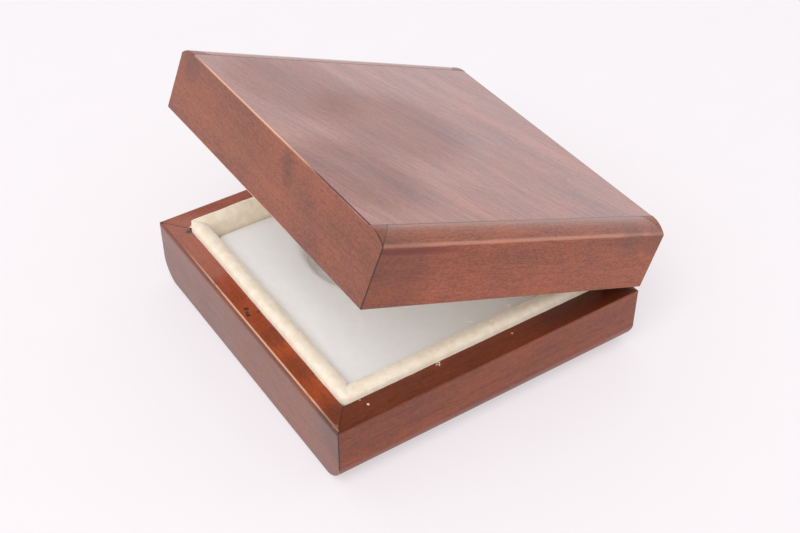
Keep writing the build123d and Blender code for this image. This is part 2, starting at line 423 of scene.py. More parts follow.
def build_arris() -> None:
    """Shared effect: the narrow rounds between an end face and the faces beside it."""
    graph, given, out = new_group(
        "arris_round", {"Normal": None, "Start": 0.12, "End": 0.95}, "Mask",
    )
    turn = graph.math("ABSOLUTE", graph.parts(given["Normal"])["Y"])
    rising = graph.math("GREATER_THAN", turn, given["Start"])
    falling = graph.math("LESS_THAN", turn, given["End"])
    graph.feed(out["Mask"], graph.times(rising, falling))


def build_ledge() -> None:
    """Shared effect: the level surface that faces up."""
    graph, given, out = new_group("level_face", {"Normal": None}, "Mask")
    graph.feed(out["Mask"], graph.ramp(graph.parts(given["Normal"])["Z"], 0.80, 0.97))


def build_band() -> None:
    """Shared effect: a ragged band about one value of a distance."""
    graph, given, out = new_group(
        "ragged_band", {"Vector": None, "Distance": 0.0, "Centre": 0.0, "Width": 0.001}, "Mask",
    )
    uneven = graph.drawn_noise(given["Vector"], (160.0, 160.0, 500.0), 3.0)
    width = graph.times(given["Width"], graph.scaled(uneven, 1.2, 0.4))
    away = graph.math("ABSOLUTE", graph.math("SUBTRACT", given["Distance"], given["Centre"]))
    graph.feed(out["Mask"], graph.less(graph.ramp(graph.math("DIVIDE", away, width), 0.3, 1.3)))


def build_mitre_joint() -> None:
    """Shared effect: the dark line where two rails meet at a mitred corner."""
    graph, given, out = new_group(
        "mitre_joint",
        {"Vector": None, "Half_X": 0.05, "Half_Y": 0.05, "Slope": 0.8, "Width": 0.0002}, "Line",
    )
    parts = graph.parts(given["Vector"])
    inward_x = graph.math("SUBTRACT", given["Half_X"], graph.math("ABSOLUTE", parts["X"]))
    inward_y = graph.math("SUBTRACT", given["Half_Y"], graph.math("ABSOLUTE", parts["Y"]))
    across = graph.math("SUBTRACT", graph.times(inward_x, given["Slope"]), inward_y)
    uneven = graph.scaled(graph.noise(given["Vector"], 500.0, 3.0), 1.2, 0.4)
    width = graph.times(given["Width"], uneven)
    away = graph.math("DIVIDE", graph.math("ABSOLUTE", across), width)
    graph.feed(out["Line"], graph.less(graph.ramp(away, 0.5, 1.4)))


def build_dust() -> None:
    """Shared effect: a scatter of tiny pale specks."""
    graph, given, out = new_group("dust_specks", {"Vector": None, "Amount": 0.5}, "Specks")
    cells = graph.node("ShaderNodeTexVoronoi", feature="F1")
    graph.give(cells, Vector=given["Vector"], Scale=210.0)
    picked = graph.node("ShaderNodeSeparateColor")
    graph.feed(picked.inputs[0], cells.outputs["Color"])
    near = graph.less(graph.ramp(cells.outputs["Distance"], 0.02, 0.055))
    chosen = graph.math("LESS_THAN", picked.outputs[0], given["Amount"])
    graph.feed(out["Specks"], graph.times(near, chosen))


def build_weave() -> None:
    """Shared effect: a plain weave read on the two main directions of a cloth."""
    graph, given, out = new_group(
        "plain_weave", {"Vector": None, "Threads": 2200.0}, "Height", "Slub",
    )
    parts = graph.parts(graph.vector("SCALE", given["Vector"], given["Threads"]))
    over = graph.times(graph.math("SINE", parts["X"]), graph.math("SINE", parts["Y"]))
    graph.feed(out["Height"], graph.scaled(over, 0.5, 0.5))
    slub = graph.drawn_noise(given["Vector"], (60.0, 700.0, 60.0), 3.0)
    graph.feed(out["Slub"], graph.ramp(slub, 0.3, 0.7))


def build_nap() -> None:
    """Shared effect: the brushed, slightly matted surface of a short pile."""
    graph, given, out = new_group("short_nap", {"Vector": None}, "Height", "Matting", "Pills")
    fine = graph.noise(given["Vector"], 5200.0, 2.0, 0.7)
    medium = graph.noise(given["Vector"], 1500.0, 3.0, 0.6)
    graph.feed(out["Height"], graph.scaled(fine, 0.55, graph.times(medium, 0.45)))
    matting = graph.noise(given["Vector"], 420.0, 4.0, 0.6)
    graph.feed(out["Matting"], graph.ramp(matting, 0.32, 0.68))
    pills = graph.noise(given["Vector"], 900.0, 1.0)
    graph.feed(out["Pills"], graph.ramp(pills, 0.66, 0.76))


# ---------------------------------------------------------------- finishes
def start_material(name: str) -> tuple[bpy.types.Material, Graph, Node, Node]:
    """Start a material.

    Args:
        name: Its name.

    Returns:
        The material, its graph, its Principled shader and its texture coordinate node.
    """
    made = bpy.data.materials.new(name)
    made.use_nodes = True
    graph = Graph(made.node_tree)
    return made, graph, made.node_tree.nodes["Principled BSDF"], graph.node("ShaderNodeTexCoord")


@dataclass(frozen=True)
class SpotMark:
    """One spot of colour, a real mark or painted shade: where it is, how big, its colour and how
    strong.
    """

    centre: tuple[float, float, float]
    radius: float
    colour: Colour
    strength: float = 0.8
    raggedness: float = 0.5

    def amount(self, graph: Graph, place_vector: Socket) -> Socket:
        """How far the mark covers each place."""
        spot = graph.group(
            "ragged_spot", Vector=place_vector, Centre=self.centre, Radius=self.radius,
            Raggedness=self.raggedness,
        )
        return graph.times(spot.outputs["Mask"], self.strength)


def marks(*rows: tuple) -> tuple[SpotMark, ...]:
    """Set out several marks.

    Args:
        rows: Centre, radius, colour as it looks on a screen, strength and raggedness of each.

    Returns:
        The marks.
    """
    return tuple(SpotMark(spot, radius, srgb(*tone), *rest) for spot, radius, tone, *rest in rows)


@dataclass(frozen=True)
class Band:
    """A band of colour along the piece, at one height or one distance from the middle."""

    axis: str
    centre: float
    width: float
    colour: Colour
    strength: float
    fade_y: tuple[float, float] | None = None


@dataclass(frozen=True)
class LedgeTint:
    """How the level top of a rail differs from its faces."""

    dark: Colour
    light: Colour
    coat: float = 0.6
    # Range along Y over which the level top is painted darker, as shade.
    deepens: tuple[float, float] | None = None
    marks: tuple[SpotMark, ...] = ()


@dataclass(frozen=True)
class LacqueredWood:
    """Deeply stained hardwood under a clear lacquer."""

    name: str
    grain: Grain
    dark: Colour
    light: Colour
    # Colour of the long arrises: rubbed wear with a painted highlight on it.
    worn_and_lit: Colour = (0.80, 0.42, 0.22, 1.0)
    # Near-black for pores, joint lines and painted shade.
    dirt_and_shade: Colour = (0.022, 0.006, 0.004, 1.0)
    clouds: float = 0.35
    stipple: float = 0.30
    streaks: float = 0.35
    flecks: float = 0.55
    roughness: float = 0.42
    coat: float = 0.45
    coat_roughness: float = 0.17
    polished_above: float | None = None
    ledge: LedgeTint | None = None
    seed: float = 0.0
    joint: tuple[float, float, float] = (0.055, 0.0532, 0.8)
    joint_strength: float = 0.85
    joint_below: float | None = None
    arris: tuple[float, float] | None = None
    wear_and_highlight_from: tuple[float, float] | None = None
    wear_and_highlight_fade: tuple[float, float] | None = None
    edge_mark_strength: float = 0.85
    wear_roughness: float = 0.15
    pore_darkness: float = 0.28
    pore_depth: float = 0.8
    dust_share: float = 0.05
    dust_strength: float = 0.4
    dust_colour: Colour = (0.7, 0.62, 0.58, 1.0)
    unevenness: float = 0.10
    relief: float = 0.25
    relief_depth: float = 0.03 * MM
    bands: tuple[Band, ...] = ()
    spots_and_shade: tuple[SpotMark, ...] = ()
    dull: tuple[SpotMark, ...] = ()

    def material(self) -> bpy.types.Material:
        """Build the material.

        Returns:
            A material whose grain runs as the piece was cut.
        """
        made, graph, shader, coordinates = start_material(self.name)
        place_vector = coordinates.outputs["Object"]
        parts = graph.parts(place_vector)
        along = graph.mapped(place_vector, (1.0, 1.0, 1.0), self.grain.value)
        figure = graph.group("wood_figure", Vector=along, Seed=self.seed)
        mottle = graph.group("stain_mottle", Vector=place_vector, Scale=1.0)
        tone = graph.times(figure.outputs["Streaks"], self.streaks)
        tone = graph.scaled(figure.outputs["Flecks"], self.flecks, tone)
        tone = graph.scaled(mottle.outputs["Clouds"], self.clouds, tone)
        tone = graph.scaled(mottle.outputs["Stipple"], self.stipple, tone)
        total = self.streaks + self.flecks + self.clouds + self.stipple
        tone = graph.math("DIVIDE", tone, total)
        colour = graph.mix(tone, self.dark, self.light)
        level = None
        if self.ledge is not None:
            face = graph.group("level_face", Normal=coordinates.outputs["Normal"])
            level = face.outputs["Mask"]
            colour = graph.mix(level, colour, graph.mix(tone, self.ledge.dark, self.ledge.light))
            for mark in self.ledge.marks:
                amount = graph.times(level, mark.amount(graph, place_vector))
                colour = graph.mix(amount, colour, mark.colour)
            # Painted shade: the level top darkens along Y, towards the back under the lid.
            if self.ledge.deepens is not None:
                deep = graph.times(level, graph.ramp(parts["Y"], *self.ledge.deepens))
                colour = graph.mix(graph.times(deep, 0.5), colour, self.dirt_and_shade)
        pores = graph.times(figure.outputs["Pores"], self.pore_darkness)
        colour = graph.mix(pores, colour, self.dirt_and_shade)
        colour = self.add_bands(graph, place_vector, parts, colour)
        half_x, half_y, slope = self.joint
        mitre = graph.group(
            "mitre_joint", Vector=place_vector, Half_X=half_x, Half_Y=half_y, Slope=slope
        )
        line = graph.times(mitre.outputs["Line"], self.joint_strength)
        if self.joint_below is not None:
            upper = self.above(graph, parts, self.joint_below)
            line = graph.times(line, graph.scaled(upper, -0.75, 1.0))
        colour = graph.mix(line, colour, self.dirt_and_shade)
        wear_and_highlight = None
        # The arrises: rubbed wear with a painted highlight, and past it a band painted darker.
        if self.arris is not None:
            wear_and_highlight, shade = self.worn_and_lit_edge(graph, coordinates, parts)
            if shade is not None:
                colour = graph.mix(shade, colour, self.dirt_and_shade)
            colour = graph.mix(wear_and_highlight, colour, self.worn_and_lit)
        # Spots: real marks, and painted shade where a piece sets it.
        for mark in self.spots_and_shade:
            colour = graph.mix(mark.amount(graph, place_vector), colour, mark.colour)
        lacquer: object = self.coat
        for mark in self.dull:
            amount = mark.amount(graph, place_vector)
            colour = graph.mix(graph.times(amount, 0.8), colour, mark.colour)
            lacquer = graph.times(graph.less(amount), lacquer)
        dust = graph.group("dust_specks", Vector=place_vector, Amount=self.dust_share)
        specks = graph.times(dust.outputs["Specks"], self.dust_strength)
        colour = graph.mix(specks, colour, self.dust_colour)
        smoothest = self.roughness - self.unevenness / 2
        gloss = graph.scaled(mottle.outputs["Clouds"], self.unevenness, smoothest)
        if wear_and_highlight is not None:
            gloss = graph.scaled(wear_and_highlight, self.wear_roughness, gloss, clamp=True)
        if level is not None:
            lacquer = graph.scaled(level, self.ledge.coat - self.coat, self.coat)
        elif self.polished_above is not None:
            upper = self.above(graph, parts, self.polished_above)
            lacquer = graph.scaled(upper, 1.0 - self.coat, self.coat)
        coat = {"Coat Weight": lacquer, "Coat Roughness": self.coat_roughness}
        graph.give(shader, **{"Base Color": colour, "Roughness": gloss, **coat})
        height = graph.scaled(figure.outputs["Pores"], -self.pore_depth, figure.outputs["Flecks"])
        graph.relief(shader, height, self.relief, self.relief_depth)
        return made

    def above(self, graph: Graph, parts: Parts, level: float) -> Socket:
        """Zero below a level and one from a little above it."""
        return graph.ramp(parts["Z"], level, level + 0.8 * MM)

    def add_bands(self, graph: Graph, place_vector: Socket, parts: Parts, colour: Socket) -> Socket:
        """Lay the bands over a colour.

        Args:
            graph: The material's graph.
            place_vector: Object coordinates.
            parts: The same, taken apart.
            colour: The colour so far.

        Returns:
            The colour with its bands.
        """
        for band in self.bands:
            distance = graph.math("ABSOLUTE", parts[band.axis])
            mask = graph.group(
                "ragged_band", Vector=place_vector, Distance=distance, Centre=band.centre,
                Width=band.width,
            )
            amount = graph.times(mask.outputs["Mask"], band.strength)
            if band.fade_y is not None:
                gone = graph.ramp(parts["Y"], *band.fade_y)
                amount = graph.times(amount, graph.less(gone))
            colour = graph.mix(amount, colour, band.colour)
        return colour

    def worn_and_lit_edge(
        self, graph: Graph, coordinates: Node, parts: Parts
    ) -> tuple[Socket, Socket | None]:
        """Where the long arrises are rubbed bright and carry a painted highlight, and where they
        are painted darker.

        Args:
            graph: The material's graph.
            coordinates: The texture coordinate node.
            parts: Object coordinates, taken apart.

        Returns:
            The rubbed arris with its painted highlight, and the darker arris where there is some.
        """
        start, end = self.arris
        place_vector = coordinates.outputs["Object"]
        facing = coordinates.outputs["Normal"]
        mask = graph.group("arris_round", Normal=facing, Start=start, End=end)
        broken = graph.ramp(graph.noise(place_vector, 120.0, 4.0, 0.7), 0.24, 0.46)
        wear_and_highlight = graph.times(mask.outputs["Mask"], broken)
        if self.wear_and_highlight_from is not None:
            wear_and_highlight = graph.times(wear_and_highlight, graph.ramp(parts["X"], *self.wear_and_highlight_from))
        if self.wear_and_highlight_fade is None:
            return graph.times(wear_and_highlight, self.edge_mark_strength), None
        # Past this range along X the arris is painted darker instead of bright.
        fade = graph.ramp(parts["X"], *self.wear_and_highlight_fade)
        shade = graph.times(mask.outputs["Mask"], graph.times(fade, self.edge_mark_strength))
        return graph.times(wear_and_highlight, graph.less(fade)), shade


@dataclass(frozen=True)
class Cloth:
    """Woven or brushed cloth."""

    name: str
    colour: Colour
    shade: Colour
    threads: float = 5200.0
    nap: float = 0.4
    roughness: float = 0.85
    sheen: float = 0.25
    bump: float = 0.25
    depth: float = 0.05 * MM

    def material(self) -> bpy.types.Material:
        """Build the material.

        Returns:
            A cloth material whose weave and nap need no unwrapping.
        """
        made, graph, shader, coordinates = start_material(self.name)
        place_vector = coordinates.outputs["Object"]
        weave = graph.group("plain_weave", Vector=place_vector, Threads=self.threads)
        nap = graph.group("short_nap", Vector=place_vector)
        tone = graph.times(nap.outputs["Matting"], self.nap)
        tone = graph.scaled(weave.outputs["Slub"], 0.15, tone)
        tone = graph.scaled(nap.outputs["Height"], 0.25, tone, clamp=True)
        colour = graph.mix(tone, self.colour, self.shade)
        rough = graph.scaled(nap.outputs["Matting"], 0.08, self.roughness - 0.04)
        sheen = {"Sheen Weight": self.sheen, "Sheen Roughness": 0.45}
        graph.give(shader, **{"Base Color": colour, "Roughness": rough, **sheen})
        woven = graph.times(weave.outputs["Height"], 1.0 - self.nap)
        height = graph.scaled(nap.outputs["Height"], self.nap, woven)
        height = graph.scaled(nap.outputs["Pills"], self.nap, height)
        graph.relief(shader, height, self.bump, self.depth)
        return made


@dataclass(frozen=True)
class AgedBrass:
    """Brass gone brown in cloudy patches, with fine rubbing marks."""

    name: str = "aged_brass"
    bright: Colour = (0.72, 0.50, 0.22, 1.0)
    brown: Colour = (0.28, 0.17, 0.08, 1.0)

    def material(self) -> bpy.types.Material:
        """Build the material."""
        made, graph, shader, coordinates = start_material(self.name)
        place_vector = coordinates.outputs["Object"]
        mottle = graph.group("stain_mottle", Vector=place_vector, Scale=6.0)
        tone = graph.times(mottle.outputs["Clouds"], 0.7)
        tone = graph.scaled(mottle.outputs["Stipple"], 0.2, tone, clamp=True)
        colour = graph.mix(tone, self.bright, self.brown)
        rough = graph.scaled(mottle.outputs["Clouds"], 0.25, 0.25)
        graph.give(shader, **{"Base Color": colour, "Roughness": rough, "Metallic": 1.0})
        rubbed = graph.drawn_noise(place_vector, (900.0, 9000.0, 9000.0), 2.0)
        graph.relief(shader, rubbed, 0.15, 0.02 * MM)
        return made


def dress(piece: Piece, material: bpy.types.Material) -> None:
    """Give a piece one material in place of what it has."""
    piece.data.materials.clear()
    piece.data.materials.append(material)


# ---------------------------------------------------------------- mitred carcase
@dataclass
class MitredCarcase:
    """Four mitred rails about a rectangular hollow, with a rounded shoulder on both side rails.

    Depths are measured inwards from the outer faces, and heights are absolute, with the box shut.
    """

    prefix: str
    body: str
    slot: str
    half_x: float
    half_y: float
    inner_x: float
    inner_y: float
    plain_edge: float
    shoulder_edge: float
    shoulder_width: float
    shoulder_height: float
    shoulder_radius: float
    edge_round: float
    quiet_edge_round: float
    rebate_half_x: float = 0.0
    rebate_depth: float = 0.0
    corner_round: float = 0.45 * MM
    joint_gap: float = 0.015 * MM
    arc_steps: int = 16
    round_steps: int = 5

    @property
    def slope(self) -> float:
        """Depth into an end rail for each unit of depth into a side rail, along the mitre."""
        return (self.half_y - self.inner_y) / (self.half_x - self.inner_x)

    @property
    def rising(self) -> float:
        """Sign of the way from the plain edge to the shouldered one."""
        return 1.0 if self.shoulder_edge > self.plain_edge else -1.0

    def shoulder(self) -> list[tuple[float, float]]:
        """Depth and height of points along the shoulder, from the knee to the shouldered edge."""
        width, height, radius = self.shoulder_width, self.shoulder_height, self.shoulder_radius
        chord = math.hypot(width, height)
        reach = math.sqrt(radius * radius - chord * chord / 4)
        centre = Vector((width / 2 + height / chord * reach, height / 2 + width / chord * reach))
        first = math.atan2(height - centre.y, -centre.x)
        last = math.atan2(-centre.y, width - centre.x)
        if first > 0:
            first -= 2 * math.pi
        points = []
        for step in range(self.arc_steps + 1):
            angle = first + (last - first) * step / self.arc_steps
            depth = centre.x + radius * math.cos(angle)
            drop = centre.y + radius * math.sin(angle)
            points.append((max(depth, 0.0), self.shoulder_edge - self.rising * drop))
        return points

    def edge_points(self) -> list[tuple[float, float]]:
        """Depth and height of points round a side rail's plain edge, from its level to the face."""
        radius, rising = self.quiet_edge_round, self.rising
        turns = quarter(self.round_steps)
        return [(radius * depth, self.plain_edge + rising * radius * rise) for rise, depth in turns]

    def side_rail(self, side: Side) -> Piece:
        """Build the left or right rail, swept from front to back between its mitres.

        Args:
            side: Side.LEFT or Side.RIGHT.

        Returns:
            The rail.
        """
        thickness = self.half_x - self.inner_x
        section = [(thickness, self.plain_edge)]
        section += self.edge_points()
        section += self.shoulder()
        if self.rebate_depth:
            floor = self.shoulder_edge - self.rising * self.rebate_depth
            section += [(self.shoulder_width, floor), (thickness, floor)]
        else:
            section.append((thickness, self.shoulder_edge))
        steps = [math.radians(a) for a in (45, 30, 15, 0)]
        lead = [self.corner_round * (1 - math.sin(a)) for a in steps] + [4 * MM, 12 * MM]
        rings = []
        for end in (-1, 1):
            ends = lead if end < 0 else list(reversed(lead))
            for from_end in ends:
                inset = round_inset(from_end, self.corner_round)
                ring = []
                for depth, height in section:
                    kept = max(depth, inset)
                    away = max(from_end, kept * self.slope) + self.joint_gap
                    x = side.outward * (self.half_x - kept)
                    ring.append(Vector((x, end * (self.half_y - away), height)))
                rings.append(ring)
        piece = skin(f"{self.prefix}_{side.value}_wood", rings, 8.5)
        return place(piece, self.body, self.slot, f"{self.prefix}_{side.value}_rail")

    def end_rail(self, side: Side) -> Piece:
        """Build the front or back rail, in layers from its face to the hollow.

        Args:
            side: Side.FRONT or Side.BACK.

        Returns:
            The rail.
        """
        thickness = self.half_y - self.inner_y
        shoulder = self.shoulder()
        depths = {0.0, thickness, self.shoulder_width * self.slope}
        depths |= {depth * self.slope for depth, _ in shoulder if depth * self.slope < thickness}
        steps = [math.radians(a) for a in (20, 40, 60, 80, 90)]
        edge_round = self.edge_round if side is Side.FRONT else self.quiet_edge_round
        for radius in {self.corner_round, edge_round}:
            depths |= {radius * (1 - math.cos(a)) for a in steps}
        rings = []
        for depth in sorted(depths):
            corner = round_inset(depth, self.corner_round)
            level = self.plain_edge + self.rising * round_inset(depth, edge_round)
            mitre = depth / self.slope + self.joint_gap
            top_in = 0.0 if self.rebate_depth else corner
            half = [(self.half_x - max(mitre, corner), level)]
            for inward, height in shoulder:
                across = self.half_x - max(mitre, inward + corner)
                half.append((across, height))
            top = self.shoulder_edge - self.rising * top_in
            half = [(x, min(z, top) if self.rising > 0 else max(z, top)) for x, z in half]
            if self.rebate_depth:
                floor = self.shoulder_edge - self.rising * self.rebate_depth
                edge = min(self.rebate_half_x, self.half_x - mitre)
                shut = mitre > self.shoulder_width + 0.01 * MM
                half = [(x, min(z, floor) if shut and z > floor else z) for x, z in half]
                half.append((edge, floor))
            outline = half + [(-x, z) for x, z in reversed(half)]
            y = side.outward * (self.half_y - depth)
            rings.append([Vector((x, y, z)) for x, z in outline])
        piece = skin(f"{self.prefix}_{side.value}_wood", rings, 8.5)
        return place(piece, self.body, self.slot, f"{self.prefix}_{side.value}_rail")

    def build(self) -> dict[Side, Piece]:
        """Build the four rails.

        Returns:
            The rails by side.
        """
        return {s: self.end_rail(s) if s.along_x else self.side_rail(s) for s in Side}


# ---------------------------------------------------------------- soft pieces
def strip_rings(
    side: Side, outer: tuple[float, float], inner: tuple[float, float], bottom: float, top: float,
    top_round: float, spacing: float, square_start: bool = False,
) -> list[list[Vector]]:
    """Rings of a mitred strip that stands along one side of a hollow, with a rounded top.

    Args:
        side: The side it stands on.
        outer: Half sizes in X and Y of its outer face.
        inner: Half sizes in X and Y of its inner face.
        bottom: Its lower level.
        top: Its upper level.
        top_round: Radius of its two upper edges.
        spacing: Distance between rings.
        square_start: Whether its first end is cut square instead of mitred.

    Returns:
        The rings, from its lower coordinate to its higher one.
    """
    face, far = (outer[1], outer[0]) if side.along_x else (outer[0], outer[1])
    back, far_inner = (inner[1], inner[0]) if side.along_x else (inner[0], inner[1])
    width = face - back
    slope = (far - far_inner) / width
    section = [(0.0, bottom), (0.0, (bottom + top) / 2)]
    section += [(top_round * a, top - top_round * b) for a, b in quarter(6)]
    section += [(width - top_round * b, top - top_round * a) for a, b in quarter(6)]
    section += [(width, (bottom + top) / 2), (width, bottom)]
    count = max(2, int(2 * far / spacing))
    rings = []
    for index in range(count + 1):
        share = index / count
        ring = []
        for depth, height in section:
            first = -far if square_start else -(far - depth * slope)
            last = far - depth * slope
            along = first + (last - first) * share
            across = side.outward * (face - depth)
            point = (along, across, height) if side.along_x else (across, along, height)
            ring.append(Vector(point))
        rings.append(ring)
    return rings


def ruffle(piece: Piece, amount: float, size: float, seed: float) -> None:
    """Press soft dents and swells into a piece along its normals.

    Args:
        piece: The piece.
        amount: Largest movement, in metres.
        size: Rough width of a dent, in metres.
        seed: Shifts the pattern.
    """
    mesh = piece.data
    shift = Vector((seed, seed * 0.7, seed * 1.3))
    moved = []
    for vert in mesh.vertices:
        value = noise.fractal(vert.co / size + shift, 0.6, 2.0, 3, noise_basis="PERLIN_ORIGINAL")
        moved.append(vert.co + vert.normal * amount * value)
    for vert, target in zip(mesh.vertices, moved):
        vert.co = target
    mesh.update()


SWELL_FRAMES = 20
SWELL = {
    "quality": 6, "mass": 0.12, "use_pressure": True, "uniform_pressure_force": 3.0,
    "tension_stiffness": 12.0, "compression_stiffness": 12.0, "shear_stiffness": 6.0,
    "bending_stiffness": 0.6, "vertex_group_mass": "held",
}


def inflate(piece: Piece, held: Sequence[int], cap: float) -> None:
    """Let a closed cover swell as stuffed cloth does, then keep the result.

    Args:
        piece: The cover, modelled a little slack.
        held: Indices of the points that don't move.
        cap: Furthest that any point may move, in metres.
    """
    scene = bpy.context.scene
    rest = [vert.co.copy() for vert in piece.data.vertices]
    pins = piece.vertex_groups.new(name="held")
    pins.add(list(held), 1.0, "REPLACE")
    cloth = piece.modifiers.new("swell", "CLOTH")
    for name, value in SWELL.items():
        setattr(cloth.settings, name, value)
    cloth.settings.effector_weights.gravity = 0.0
    cloth.collision_settings.use_collision = False
    cloth.point_cache.frame_start = 1
    cloth.point_cache.frame_end = SWELL_FRAMES
    for step in range(1, SWELL_FRAMES + 1):
        scene.frame_set(step)
    graph = bpy.context.evaluated_depsgraph_get()
    swollen = piece.evaluated_get(graph).to_mesh()
    targets = [vert.co.copy() for vert in swollen.vertices]
    piece.evaluated_get(graph).to_mesh_clear()
    piece.modifiers.remove(cloth)
    piece.vertex_groups.remove(pins)
    scene.frame_set(1)
    for vert, start, target in zip(piece.data.vertices, rest, targets):
        move = target - start
        if move.length > cap:
            move = move.normalized() * cap
        vert.co = start + move
    piece.data.update()
    most = max((target - start).length for start, target in zip(rest, targets))
    LOG.info("%s swelled by up to %.2f mm", piece.name, most / MM)


def smooth_cover(piece: Piece) -> None:
    """Smooth a cover by one step of subdivision."""
    smooth = piece.modifiers.new("soft", "SUBSURF")
    smooth.levels = smooth.render_levels = 1


def square_ring(
    half_x: float, half_y: float, corner: float, level: float, count: int
) -> list[Vector]:
    """A rounded rectangle of points, starting on +X and turning towards +Y.

    Args:
        half_x: Half size in X.
        half_y: Half size in Y.
        corner: Radius of its corners.
        level: Height.
        count: Number of points, spread by angle.

    Returns:
        The points.
    """
    points = []
    for index in range(count):
        angle = 2 * math.pi * index / count
        ray = Vector((math.cos(angle), math.sin(angle)))
        reach = min(half_x / max(abs(ray.x), 1e-9), half_y / max(abs(ray.y), 1e-9))
        spot = ray * reach
        over = Vector((abs(spot.x) - (half_x - corner), abs(spot.y) - (half_y - corner)))
        if over.x > 0 and over.y > 0 and over.length > corner:
            low, high = 0.0, reach
            for _ in range(24):
                middle = (low + high) / 2
                test = ray * middle
                beyond = Vector((abs(test.x) - (half_x - corner), abs(test.y) - (half_y - corner)))
                outside = beyond.x > 0 and beyond.y > 0 and beyond.length > corner
                low, high = (low, middle) if outside else (middle, high)
            spot = ray * low
        points.append(Vector((spot.x, spot.y, level)))
    return points


@dataclass
class WatchPad:
    """The padded tray: a cloth-covered block of foam with a round recess for the watch."""

    half_x: float
    half_y: float
    top: float
    bottom: float
    recess_radius: float
    recess_floor: float
    recess_centre: tuple[float, float]
    mouth_round: float = 3.4 * MM
    edge_round: float = 1.9 * MM
    floor_round: float = 2.6 * MM
    crown: float = 0.35 * MM
    corner: float = 1.5 * MM
    skirt_corner: float = 3.4 * MM
    spokes: int = 176

    def rings(self, under: float) -> list[list[Vector]]:
        """Rings from the middle of the recess out over the top and down the sides.

        Args:
            under: How far below the outer surface the skin lies.

        Returns:
            The rings.
        """
        radius = self.recess_radius + under
        floor = self.recess_floor - under
        top = self.top - under
        half_x, half_y = self.half_x, self.half_y
        rows: list[list[Vector]] = []

        def circle(reach: float, level: float) -> list[Vector]:
            """One round row of points."""
            turns = [2 * math.pi * i / self.spokes for i in range(self.spokes)]
            x, y = self.recess_centre
            spots = [(x + reach * math.cos(t), y + reach * math.sin(t)) for t in turns]
            return [Vector((*spot, level)) for spot in spots]

        for share in (0.04, 0.14, 0.26, 0.38, 0.50, 0.62, 0.74, 0.85):
            swell = 0.5 * MM * (1 - share * share)
            rows.append(circle((radius - self.floor_round) * share, floor + swell * 0.6))
        for rise, inward in quarter(6):
            rows.append(circle(radius - self.floor_round * inward, floor + self.floor_round * rise))
        low, high = floor + self.floor_round, top - self.mouth_round
        for share in (0.25, 0.5, 0.75):
            rows.append(circle(radius, low + (high - low) * share))
        for outward, drop in quarter(7):
            rows.append(circle(radius + self.mouth_round * outward, top - self.mouth_round * drop))
        inner = rows[-1]
        rim_x, rim_y = half_x - self.edge_round, half_y - self.edge_round
        rim = square_ring(rim_x, rim_y, self.corner, top, self.spokes)
        for step in range(1, 15):
            share = step / 15
            rise = self.crown * math.sin(math.pi * share)
            row = []
            for near, far in zip(inner, rim):
                spot = near.lerp(far, share)
                spot.z = top + rise
                row.append(spot)
            rows.append(row)
        for drop, inward in quarter(7):
            short = self.edge_round * inward
            level = top - self.edge_round * drop
            corner = self.corner + self.edge_round - short
            rows.append(square_ring(half_x - short, half_y - short, corner, level, self.spokes))
        for share in (0.35, 0.7, 1.0):
            level = (top - self.edge_round) * (1 - share) + self.bottom * share
            rows.append(square_ring(half_x, half_y, self.skirt_corner, level, self.spokes))
        return rows

    def build(self) -> tuple[Piece, Piece]:
        """Build the cover and the foam under it.

        Returns:
            The cover and the foam.
        """
        cover = skin("tray_pad_cloth", self.rings(0.0), 80.0, even=False)
        seam = self.top - self.edge_round - 1 * MM
        held = [v.index for v in cover.data.vertices if v.co.z < seam]
        ruffle(cover, 0.10 * MM, 9 * MM, 4.0)
        inflate(cover, held, 0.45 * MM)
        ruffle(cover, 0.05 * MM, 3 * MM, 9.0)
        smooth_cover(cover)
        place(cover, "base", "pad_cloth", "pad_cover")
        foam = skin("tray_pad_filling", self.rings(0.9 * MM), 80.0, even=False)
        foam.scale = (0.985, 0.985, 1.0)
        place(foam, "base", "foam", "pad_foam")
        return cover, foam


@dataclass
class VelvetCollar:
    """Four velvet-covered strips that stand round the tray and steady the shut lid."""

    outer: tuple[float, float]
    inner: tuple[float, float]
    bottom: float
    top: float
    top_round: float
    spacing: float = 0.7 * MM
    corner: float = 2.6 * MM
    splay: float = 0.4 * MM

    def soften(self, piece: Piece, side: Side) -> None:
        """Round the strip's outer corners in plan, and let the left strip splay a little.

        Args:
            piece: The strip.
            side: Where it stands.
        """
        square_x, square_y = self.outer[0] - self.corner, self.outer[1] - self.corner
        for vert in piece.data.vertices:
            over = Vector((abs(vert.co.x) - square_x, abs(vert.co.y) - square_y))
            if over.x > 0 and over.y > 0 and over.length > self.corner:
                over = over.normalized() * self.corner
                vert.co.x = math.copysign(square_x + over.x, vert.co.x)
                vert.co.y = math.copysign(square_y + over.y, vert.co.y)
            if side is Side.LEFT:
                share = (vert.co.z - self.bottom) / (self.top - self.bottom)
                vert.co.x -= self.splay * share * share
                vert.co.z += self.splay * share * share

    def strip(self, side: Side) -> Piece:
        """Build one strip.

        Args:
            side: Where it stands.

        Returns:
            The strip.
        """
        rings = strip_rings(
            side, self.outer, self.inner, self.bottom, self.top, self.top_round, self.spacing
        )
        piece = skin(f"collar_{side.value}_velvet", rings, 80.0, even=False)
        self.soften(piece, side)
        ruffle(piece, 0.10 * MM, 8 * MM, 3.0 * list(Side).index(side))
        ruffle(piece, 0.05 * MM, 1.6 * MM, 5.0 * list(Side).index(side))
        place(piece, "base", "collar_velvet", f"collar_{side.value}_cover")
        return piece

    def build(self) -> list[Piece]:
        """Build the four strips."""
        return [self.strip(side) for side in Side]


